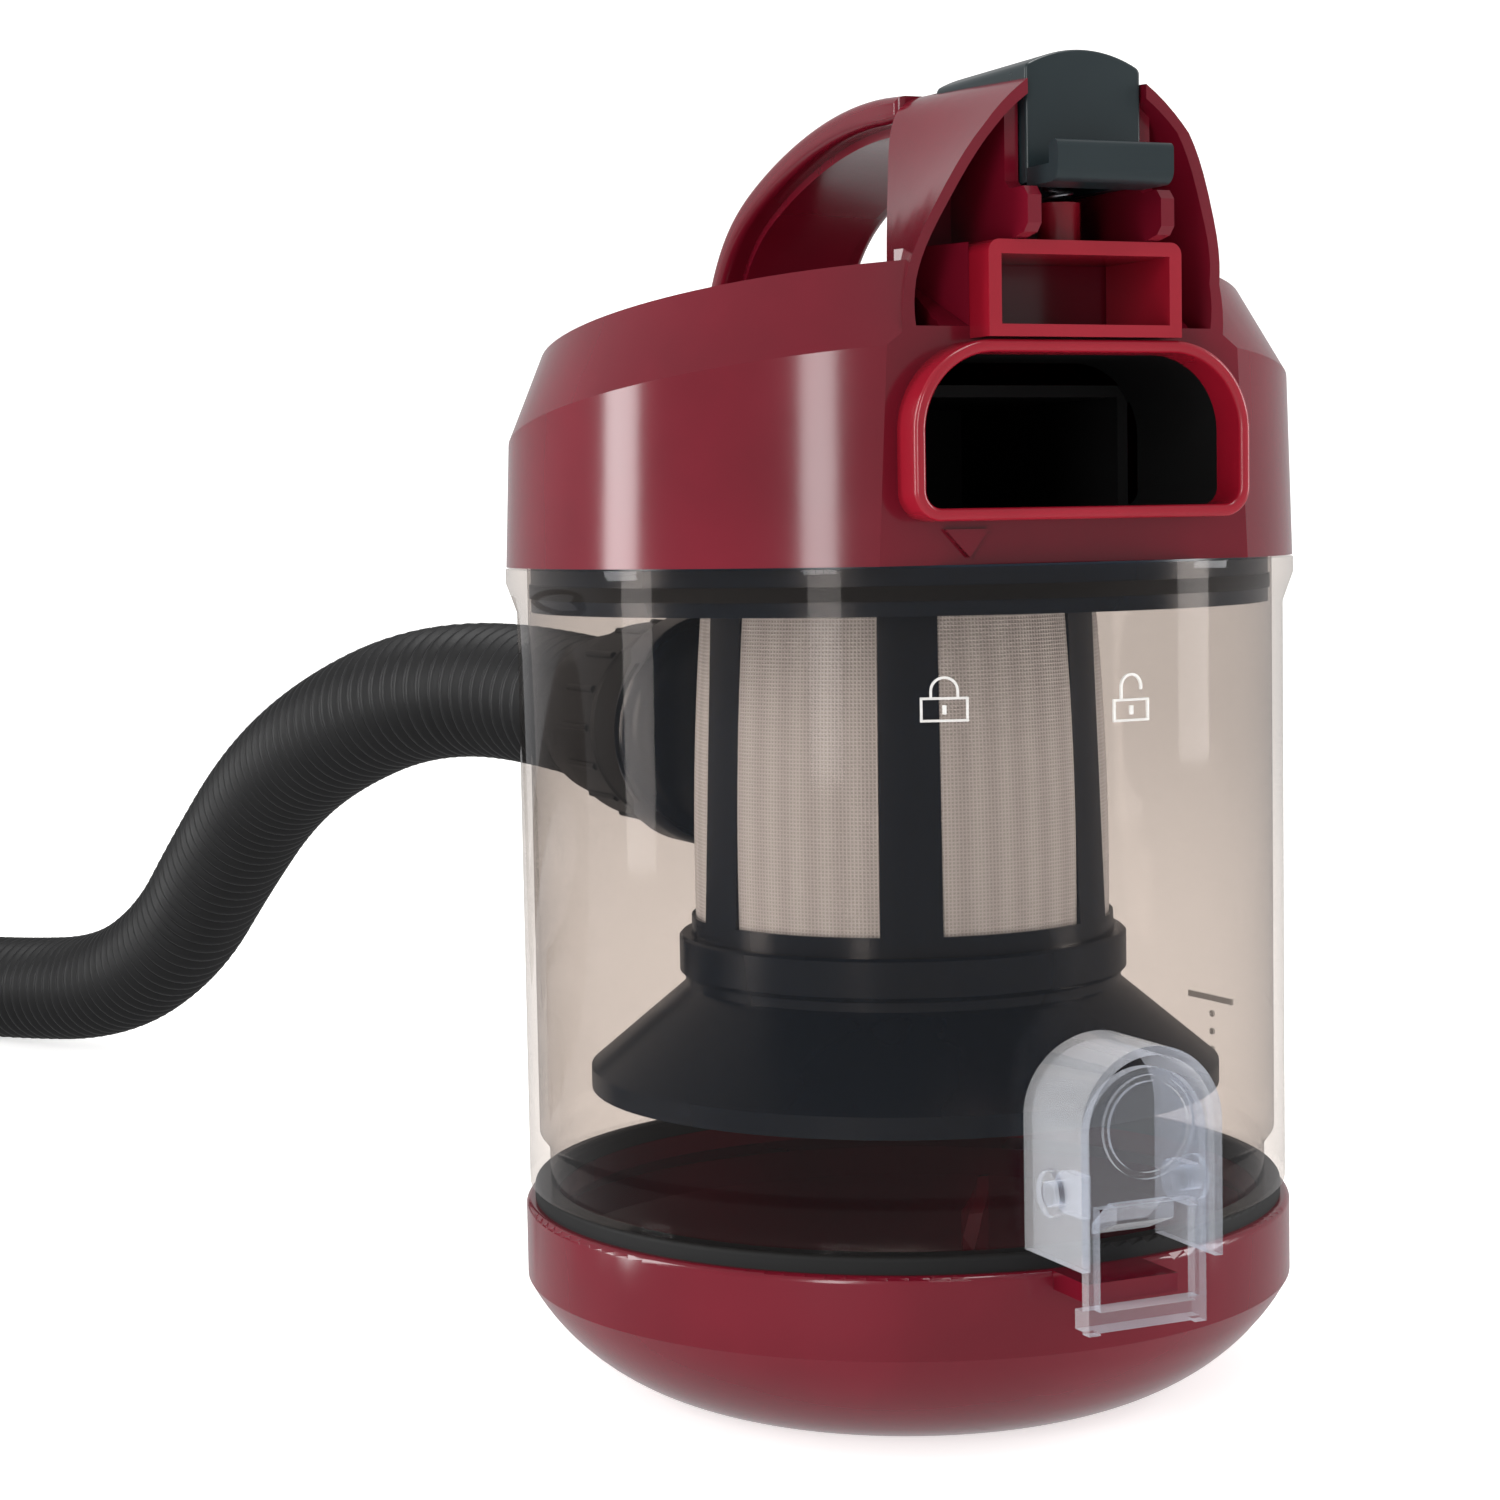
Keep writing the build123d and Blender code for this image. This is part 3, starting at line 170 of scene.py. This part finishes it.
# ------------------------------------------------------------------ base
# Hinged lid in deep crimson ABS with a polished tool finish, broken only by a very faint orange
# peel and slow changes of tone. A rubber gasket seals it, and a steel pin holds it at the rear.
def crimson(name, dark, light, gloss):
    """Crimson ABS between two tones, with a given roughness."""
    material, tree, out = new_material(name)
    place = add_node(tree, "ShaderNodeTexCoord")
    cloud = add_node(tree, "ShaderNodeTexNoise", None, {"Scale": 22.0, "Detail": 3.0},
                     {"Vector": place.outputs["Object"]})
    tint = add_node(tree, "ShaderNodeValToRGB", None, None, {"Fac": cloud.outputs["Fac"]})
    tint.color_ramp.elements[0].position = 0.35
    tint.color_ramp.elements[1].position = 0.65
    tint.color_ramp.elements[0].color = linear(dark)
    tint.color_ramp.elements[1].color = linear(light)
    peel = add_node(tree, "ShaderNodeTexNoise", None, {"Scale": 260.0, "Detail": 2.0},
                    {"Vector": place.outputs["Object"]})
    relief = add_node(tree, "ShaderNodeBump", None, {"Strength": 0.03, "Distance": 0.0002},
                      {"Height": peel.outputs["Fac"]})
    rough = add_node(tree, "ShaderNodeMapRange", None,
                     {"To Min": gloss - 0.03, "To Max": gloss + 0.05},
                     {"Value": cloud.outputs["Fac"]})
    skin = add_node(tree, "ShaderNodeBsdfPrincipled", None, {"Specular IOR Level": 0.4,
                                                             "Coat Weight": 0.1,
                                                             "Coat Roughness": 0.1},
                    {"Base Color": tint.outputs["Color"], "Roughness": rough.outputs["Result"],
                     "Normal": relief.outputs["Normal"]})
    tree.links.new(skin.outputs[0], out.inputs[0])
    return material


crimson_gloss = crimson("polished_abs_crimson", "590a19", "630c1d", 0.15)

# The CAD lid's dust fin reaches 1.2 to 1.7 mm out through the dish's lower curve, so this copy has
# the fin's outer corners back on the curve.
base_r = 85.9 * MM
base_flat_r = 58.0 * MM
base_crease_z = 23.7 * MM
base_bulge = 3.4 * MM
curve_w = base_r - base_flat_r
chord = math.hypot(curve_w, base_crease_z)
curve_r = (chord ** 2 / 4 + base_bulge ** 2) / (2 * base_bulge)
curve_x = base_flat_r + curve_w / 2 - (curve_r - base_bulge) * base_crease_z / chord
curve_z = base_crease_z / 2 + (curve_r - base_bulge) * curve_w / chord
fin_near_r = 60.7 * MM
fin_far_r = 71.2 * MM

dish = bmesh.new()
dish.from_mesh(nodes["base_lid"].data)
bmesh.ops.transform(dish, matrix=nodes["base_lid"].matrix_world, verts=dish.verts[:])
bmesh.ops.remove_doubles(dish, verts=dish.verts[:], dist=0.01 * MM)
for vert in dish.verts:
    radius = math.hypot(vert.co.x, vert.co.y)
    if fin_near_r < radius < fin_far_r and vert.co.z < base_crease_z:
        lowest = curve_z - math.sqrt(curve_r ** 2 - (radius - curve_x) ** 2)
        vert.co.z = max(vert.co.z, lowest)
lid = add_piece("base_dish", dish, crimson_gloss, "base")
crisp_edges(lid, 20)
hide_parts("base_lid")


def satin(name, dark, light, gloss):
    """Satin moulded plastic between two tones."""
    material, tree, out = new_material(name)
    place = add_node(tree, "ShaderNodeTexCoord")
    grain = add_node(tree, "ShaderNodeTexNoise", None, {"Scale": 700.0, "Detail": 3.0},
                     {"Vector": place.outputs["Object"]})
    cloud = add_node(tree, "ShaderNodeTexNoise", None, {"Scale": 30.0, "Detail": 2.0},
                     {"Vector": place.outputs["Object"]})
    tint = add_node(tree, "ShaderNodeValToRGB", None, None, {"Fac": cloud.outputs["Fac"]})
    tint.color_ramp.elements[0].color = linear(dark)
    tint.color_ramp.elements[1].color = linear(light)
    relief = add_node(tree, "ShaderNodeBump", None, {"Strength": 0.02, "Distance": 0.0001},
                      {"Height": grain.outputs["Fac"]})
    rough = add_node(tree, "ShaderNodeMapRange", None,
                     {"To Min": gloss - 0.05, "To Max": gloss + 0.08},
                     {"Value": cloud.outputs["Fac"]})
    skin = add_node(tree, "ShaderNodeBsdfPrincipled", None, {"Specular IOR Level": 0.4},
                    {"Base Color": tint.outputs["Color"], "Roughness": rough.outputs["Result"],
                     "Normal": relief.outputs["Normal"]})
    tree.links.new(skin.outputs[0], out.inputs[0])
    return material


rubber = satin("moulded_rubber", "040404", "080809", 0.65)
finish_node("base_seal", rubber)

steel, tree, out = new_material("drawn_steel")
place = add_node(tree, "ShaderNodeTexCoord")
lines = add_node(tree, "ShaderNodeTexNoise", None, {"Scale": 400.0, "Detail": 2.0},
                 {"Vector": place.outputs["Object"]})
rough = add_node(tree, "ShaderNodeMapRange", None, {"To Min": 0.22, "To Max": 0.38},
                 {"Value": lines.outputs["Fac"]})
skin = add_node(tree, "ShaderNodeBsdfPrincipled", None,
                {"Base Color": linear("b9bbbf"), "Metallic": 1.0},
                {"Roughness": rough.outputs["Result"]})
tree.links.new(skin.outputs[0], out.inputs[0])
finish_node("hinge_pin", steel)


# ------------------------------------------------------------------ dust bin and its raised marks
# Injection-moulded clear plastic with a warm smoky tint, thin enough that it hardly bends what
# lies behind it. Lock symbols, a fill line and dots stand out half a millimetre, with frosted tops.
def clear_plastic(name, tone, low, high, steepness, mirror):
    """Clear plastic: a tinted view through it, with a low to high share of bright surface.
    Where mirror is below 1, that surface is partly a painted near-white highlight.
    """
    material, tree, out = new_material(name)
    behind = add_node(tree, "ShaderNodeBsdfTransparent", None, {"Color": linear(tone)})
    gloss = add_node(tree, "ShaderNodeBsdfPrincipled", None,
                     {"Base Color": linear("f8f9fc"), "Roughness": 0.05, "Metallic": mirror})
    facing = add_node(tree, "ShaderNodeLayerWeight", None, {"Blend": 0.5})
    steep = add_node(tree, "ShaderNodeMath", {"operation": "POWER"}, {1: steepness},
                     {0: facing.outputs["Facing"]})
    share = add_node(tree, "ShaderNodeMapRange", None, {"To Min": low, "To Max": high},
                     {"Value": steep.outputs[0]})
    both = add_node(tree, "ShaderNodeMixShader", None, None,
                    {0: share.outputs["Result"], 1: behind.outputs[0], 2: gloss.outputs[0]})
    tree.links.new(both.outputs[0], out.inputs[0])
    return material


smoke_clear = clear_plastic("clear_san_smoke", "e6e2df", 0.012, 0.45, 4.0, 1.0)
finish_node("bin_shell", smoke_clear)

frosted, tree, out = new_material("frosted_san")
place = add_node(tree, "ShaderNodeTexCoord")
frost = add_node(tree, "ShaderNodeTexNoise", None, {"Scale": 1200.0, "Detail": 2.0},
                 {"Vector": place.outputs["Object"]})
tint = add_node(tree, "ShaderNodeValToRGB", None, None, {"Fac": frost.outputs["Fac"]})
tint.color_ramp.elements[0].color = linear("dddbd8")
tint.color_ramp.elements[1].color = linear("f5f4f2")
skin = add_node(tree, "ShaderNodeBsdfPrincipled", None, {"Roughness": 0.4, "Alpha": 0.6},
                {"Base Color": tint.outputs["Color"]})
tree.links.new(skin.outputs[0], out.inputs[0])
bin_r = 85.0
mark_rise = 0.5


def band(centre, outer, inner, start, sweep_angle, steps=14):
    """Outline of a flat band bent round a centre, in millimetres."""
    turns = [math.radians(start + sweep_angle * k / steps) for k in range(steps + 1)]
    outside = [(centre[0] + outer * math.cos(a), centre[1] + outer * math.sin(a)) for a in turns]
    inside = [(centre[0] + inner * math.cos(a), centre[1] + inner * math.sin(a)) for a in turns]
    return outside + inside[::-1]


def box_outline(left, low, right, high):
    """Outline of an upright rectangle, in millimetres."""
    return [(left, low), (right, low), (right, high), (left, high)]


def frame_outlines(left, low, right, high, line):
    """Four thin bars round an upright rectangle."""
    return [
        box_outline(left, low, right, low + line),
        box_outline(left, high - line, right, high),
        box_outline(left, low + line, left + line, high - line),
        box_outline(right - line, low + line, right, high - line),
    ]


def wall_mark(name, outlines, turn):
    """Outlines raised on the bin's wall, centred at an angle in degrees from the dock side."""
    mark = bmesh.new()
    for outline in outlines:
        face = mark.faces.new([mark.verts.new((x, -bin_r, z)) for x, z in outline])
        made = bmesh.ops.extrude_face_region(mark, geom=[face])["geom"]
        outer = [part for part in made if isinstance(part, bmesh.types.BMVert)]
        bmesh.ops.translate(mark, verts=outer, vec=(0, -mark_rise, 0))
    for vert in mark.verts:
        angle = math.radians(turn) + vert.co.x / bin_r
        radius = -vert.co.y
        vert.co = Vector((math.sin(angle) * radius, -math.cos(angle) * radius, vert.co.z)) * MM
    bmesh.ops.recalc_face_normals(mark, faces=mark.faces[:])
    piece = add_piece(name, mark, frosted, "bin")
    crisp_edges(piece, 30)
    return piece


wall_mark("locked_symbol", frame_outlines(-4.8, 151.5, 4.8, 156.4, 0.5) + [
    band((0, 157.6), 2.9, 2.4, 0, 180),
    box_outline(-2.9, 156.4, -2.4, 157.6),
    box_outline(2.4, 156.4, 2.9, 157.6),
    box_outline(-0.4, 153.0, 0.4, 154.8),
], -21)
wall_mark("unlocked_symbol", frame_outlines(-4.4, 150.2, 4.4, 154.8, 0.5) + [
    band((0, 157.2), 2.7, 2.2, -15, 195),
    box_outline(-2.7, 154.8, -2.2, 157.2),
    box_outline(-0.4, 151.6, 0.4, 153.4),
], 6)
dots = [band((0, z), 0.8, 0.05, 0, 345) for z in (72.0, 67.7, 63.4, 59.1)]
wall_mark("fill_line", [box_outline(-8.8, 75.2, 8.8, 76.6)] + dots, 93)


# ------------------------------------------------------------------ dust inlet
# Elbow in satin navy ABS that turns the incoming air round the bin, with a rubber seal where it
# goes through the wall.
navy = satin("satin_abs_navy", "0d1825", "15212f", 0.2)
finish_node("inlet_elbow", navy)
finish_node("inlet_seal", rubber)


# ------------------------------------------------------------------ base latch
# Colourless clear housing fixed to the bin, and the lever that rocks on two stubs inside it and
# hooks under the ledge of the base. Their steep faces are painted near-white: a painted highlight
# for the bright surroundings seen through the plastic there.
latch_clear = clear_plastic("clear_polycarbonate", "f3f5f9", 0.04, 0.9, 2.0, 0.3)
for name in ("latch_housing", "latch_lever"):
    finish_node(name, latch_clear)


# ------------------------------------------------------------------ filter
# Navy cage, collar and skirt round a cartridge of pleated paper, with woven nylon mesh stretched
# in the cage's windows. The threads are drawn coarser than real ones so that the weave shows.
for name in ("filter_cage", "filter_collar", "filter_skirt"):
    finish_node(name, navy)

thread = 0.8 * MM
mesh_radius = 45.0 * MM
nylon, tree, out = new_material("woven_nylon_mesh")
place = add_node(tree, "ShaderNodeTexCoord")
split = add_node(tree, "ShaderNodeSeparateXYZ", None, None, {"Vector": place.outputs["Object"]})
round_angle = add_node(tree, "ShaderNodeMath", {"operation": "ARCTAN2"}, None,
                       {0: split.outputs["Y"], 1: split.outputs["X"]})
across = add_node(tree, "ShaderNodeMath", {"operation": "MULTIPLY"},
                  {1: 2 * math.pi * mesh_radius / thread}, {0: round_angle.outputs[0]})
upward = add_node(tree, "ShaderNodeMath", {"operation": "MULTIPLY"}, {1: 2 * math.pi / thread},
                  {0: split.outputs["Z"]})
wave_a = add_node(tree, "ShaderNodeMath", {"operation": "SINE"}, None, {0: across.outputs[0]})
wave_b = add_node(tree, "ShaderNodeMath", {"operation": "SINE"}, None, {0: upward.outputs[0]})
weave = add_node(tree, "ShaderNodeMath", {"operation": "MAXIMUM"}, None,
                 {0: wave_a.outputs[0], 1: wave_b.outputs[0]})
# painted shade: the lit and shaded folds of the paper behind, drawn on the cloth as upright bands
fold = add_node(tree, "ShaderNodeMath", {"operation": "MULTIPLY"}, {1: 44.0},
                {0: round_angle.outputs[0]})
fold_wave = add_node(tree, "ShaderNodeMath", {"operation": "SINE"}, None, {0: fold.outputs[0]})
shade = add_node(tree, "ShaderNodeMath", {"operation": "MULTIPLY_ADD"}, {1: 0.15, 2: 0.4},
                 {0: fold_wave.outputs[0]})
tone = add_node(tree, "ShaderNodeMath", {"operation": "MULTIPLY_ADD"}, {1: 0.35},
                {0: weave.outputs[0], 2: shade.outputs[0]})
tint = add_node(tree, "ShaderNodeValToRGB", None, None, {"Fac": tone.outputs[0]})
tint.color_ramp.elements[0].color = linear("c9c6c6")
tint.color_ramp.elements[1].color = linear("fbfafa")
relief = add_node(tree, "ShaderNodeBump", None, {"Strength": 0.5, "Distance": 0.0003},
                  {"Height": weave.outputs[0]})
cloth = add_node(tree, "ShaderNodeBsdfPrincipled", None, {"Roughness": 0.7, "Alpha": 0.85},
                 {"Base Color": tint.outputs["Color"], "Normal": relief.outputs["Normal"]})
tree.links.new(cloth.outputs[0], out.inputs[0])
for k in range(6):
    finish_node(f"mesh_panel_{k + 1}", nylon)

paper_fold, tree, out = new_material("pleated_filter_paper")
place = add_node(tree, "ShaderNodeTexCoord")
fibre = add_node(tree, "ShaderNodeTexNoise", None, {"Scale": 500.0, "Detail": 5.0},
                 {"Vector": place.outputs["Object"]})
tint = add_node(tree, "ShaderNodeValToRGB", None, None, {"Fac": fibre.outputs["Fac"]})
tint.color_ramp.elements[0].color = linear("c4bfb8")
tint.color_ramp.elements[1].color = linear("e6e2dc")
sheet = add_node(tree, "ShaderNodeBsdfPrincipled", None, {"Roughness": 0.85},
                 {"Base Color": tint.outputs["Color"]})
tree.links.new(sheet.outputs[0], out.inputs[0])
finish_node("pleated_cartridge", paper_fold)
for name in ("cartridge_top", "cartridge_foot"):
    finish_node(name, rubber)


# ------------------------------------------------------------------ head, handle and air outlet
# Polished crimson shell with the carry handle, a brighter red rim round the air outlet and the
# black duct behind it, whose black is painted shade for the dark deep inside of the outlet. The
# navy seat plate closes it from below with four screws and a seal.
for name in ("head_shell", "handle_grip", "grip_underside"):
    finish_node(name, crimson_gloss)
crimson_bright = crimson("satin_abs_red", "7e0e1e", "8a1224", 0.24)
finish_node("outlet_bezel", crimson_bright)
# the duct's black rubber finish is painted shade deep inside the outlet; the seal is real rubber
for name in ("outlet_duct", "head_seal"):
    finish_node(name, rubber)
finish_node("filter_seat", navy)
finish_node("seat_screws", steel)


# ------------------------------------------------------------------ release button
# Slate button and hook bar that swing on a steel pin over a coil spring, which stands in the
# post of the bright red pocket frame.
finish_node("button_frame", crimson_bright)
slate = satin("satin_abs_slate", "182124", "212b2e", 0.28)
for name in ("release_button", "release_hook"):
    finish_node(name, slate)
for name in ("button_pin", "button_spring"):
    finish_node(name, steel)


# ------------------------------------------------------------------ suction hose
# Blow-moulded black polyethylene with round corrugations, pushed into a rigid cuff at the bin.
# It bends down to the floor and lies there in one open loop that ends in its coupling.
hose_route = [
    (-14, 135, 141), (-21, 184, 146), (-37, 231, 144), (-48, 283, 130),
    (-53, 338, 110), (-57, 389, 80), (-62, 432, 49), (-74, 486, 26), (-98, 546, 19.4),
    (-140, 603, 19.2), (-202, 642, 19.2), (-277, 655, 19.2), (-350, 641, 19.2), (-409, 604, 19.2),
    (-451, 548, 19.2), (-470, 481, 19.2), (-464, 411, 19.2), (-433, 348, 19.2), (-382, 301, 19.2),
    (-318, 274, 20.2), (-262, 271, 22.2), (-236, 274, 22.2),
]
hose_crest = 19.0 * MM
hose_valley = 17.1 * MM
hose_pitch = 5.6 * MM

hose_line = bpy.data.curves.new("hose_line", "CURVE")
hose_line.dimensions = "3D"
hose_line.resolution_u = 24
spline = hose_line.splines.new("NURBS")
spline.points.add(len(hose_route) - 1)
for point, place in zip(spline.points, hose_route):
    point.co = (place[0] * MM, place[1] * MM, place[2] * MM, 1.0)
spline.order_u = 3
spline.use_endpoint_u = True
line_object = bpy.data.objects.new("hose_line", hose_line)
bpy.context.scene.collection.objects.link(line_object)
line_mesh = bpy.data.meshes.new_from_object(line_object)
hose_path = [v.co.copy() for v in line_mesh.vertices]
bpy.data.objects.remove(line_object)

# distance along the path, and a frame that doesn't twist
reach = [0.0]
for here, after in zip(hose_path, hose_path[1:]):
    reach.append(reach[-1] + (after - here).length)


def along(distance):
    """Point and direction of the hose's centreline at a distance from the cuff."""
    k = max(i for i in range(len(reach) - 1) if reach[i] <= distance or i == 0)
    share = (distance - reach[k]) / (reach[k + 1] - reach[k])
    step = hose_path[k + 1] - hose_path[k]
    return hose_path[k] + step * share, step.normalized()


hose_black, tree, out = new_material("blow_moulded_polyethylene")
place = add_node(tree, "ShaderNodeTexCoord")
grime = add_node(tree, "ShaderNodeTexNoise", None, {"Scale": 90.0, "Detail": 4.0},
                 {"Vector": place.outputs["Object"]})
tint = add_node(tree, "ShaderNodeValToRGB", None, None, {"Fac": grime.outputs["Fac"]})
tint.color_ramp.elements[0].color = linear("060607")
tint.color_ramp.elements[1].color = linear("0d0d0e")
dull = add_node(tree, "ShaderNodeMapRange", None, {"To Min": 0.42, "To Max": 0.56},
                {"Value": grime.outputs["Fac"]})
fine = add_node(tree, "ShaderNodeTexNoise", None, {"Scale": 1400.0, "Detail": 2.0},
                {"Vector": place.outputs["Object"]})
relief = add_node(tree, "ShaderNodeBump", None, {"Strength": 0.12, "Distance": 0.0004},
                  {"Height": fine.outputs["Fac"]})
skin = add_node(tree, "ShaderNodeBsdfPrincipled", None, {"Specular IOR Level": 0.35},
                {"Base Color": tint.outputs["Color"], "Roughness": dull.outputs["Result"],
                 "Normal": relief.outputs["Normal"]})
tree.links.new(skin.outputs[0], out.inputs[0])

tube = bmesh.new()
ring_sides = 36
corrugation = [(0.0, 0.0), (0.16, 0.25), (0.30, 0.85), (0.45, 1.0), (0.60, 0.85), (0.74, 0.25)]
stations = []
count = int(reach[-1] / hose_pitch)
pitch = reach[-1] / count
for turn in range(count):
    for share, lift in corrugation:
        stations.append(((turn + share) * pitch, hose_valley + lift * (hose_crest - hose_valley)))
stations.append((reach[-1] - 1e-7, hose_valley))
side = Vector((1.0, 0.0, 0.0))
bmesh.ops.create_circle(tube, segments=ring_sides, radius=1.0, cap_ends=False)
edges = tube.edges[:]
ring = tube.verts[:]
placed = Matrix.Identity(4)
for k, (distance, radius) in enumerate(stations):
    centre, heading = along(distance)
    side = (side - heading * side.dot(heading)).normalized()
    other = heading.cross(side)
    across = Matrix((side * radius, other * radius, heading * radius)).transposed().to_4x4()
    here = Matrix.Translation(centre) @ across
    if k:
        made = bmesh.ops.extrude_edge_only(tube, edges=edges)["geom"]
        ring = [g for g in made if isinstance(g, bmesh.types.BMVert)]
        edges = [g for g in made if isinstance(g, bmesh.types.BMEdge)]
    bmesh.ops.transform(tube, matrix=here @ placed.inverted(), verts=ring)
    placed = here
bmesh.ops.recalc_face_normals(tube, faces=tube.faces[:])
hose = add_piece("corrugated_hose", tube, hose_black, "bin")
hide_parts("hose_tube")


# ------------------------------------------------------------------ hose cuff and end coupling
# Rigid black ABS with a fine moulded texture. The cuff turns onto the bin's spigot, and the
# coupling at the free end takes a tube or a tool.
cuff_black, tree, out = new_material("textured_abs_black")
place = add_node(tree, "ShaderNodeTexCoord")
grain = add_node(tree, "ShaderNodeTexNoise", None, {"Scale": 900.0, "Detail": 3.0},
                 {"Vector": place.outputs["Object"]})
relief = add_node(tree, "ShaderNodeBump", None, {"Strength": 0.2, "Distance": 0.0003},
                  {"Height": grain.outputs["Fac"]})
tint = add_node(tree, "ShaderNodeValToRGB", None, None, {"Fac": grain.outputs["Fac"]})
tint.color_ramp.elements[0].color = linear("0c0c0d")
tint.color_ramp.elements[1].color = linear("131314")
skin = add_node(tree, "ShaderNodeBsdfPrincipled", None, {"Roughness": 0.45, "Specular IOR Level": 0.35},
                {"Base Color": tint.outputs["Color"], "Normal": relief.outputs["Normal"]})
tree.links.new(skin.outputs[0], out.inputs[0])
for name in ("hose_cuff", "hose_end"):
    finish_node(name, cuff_black)
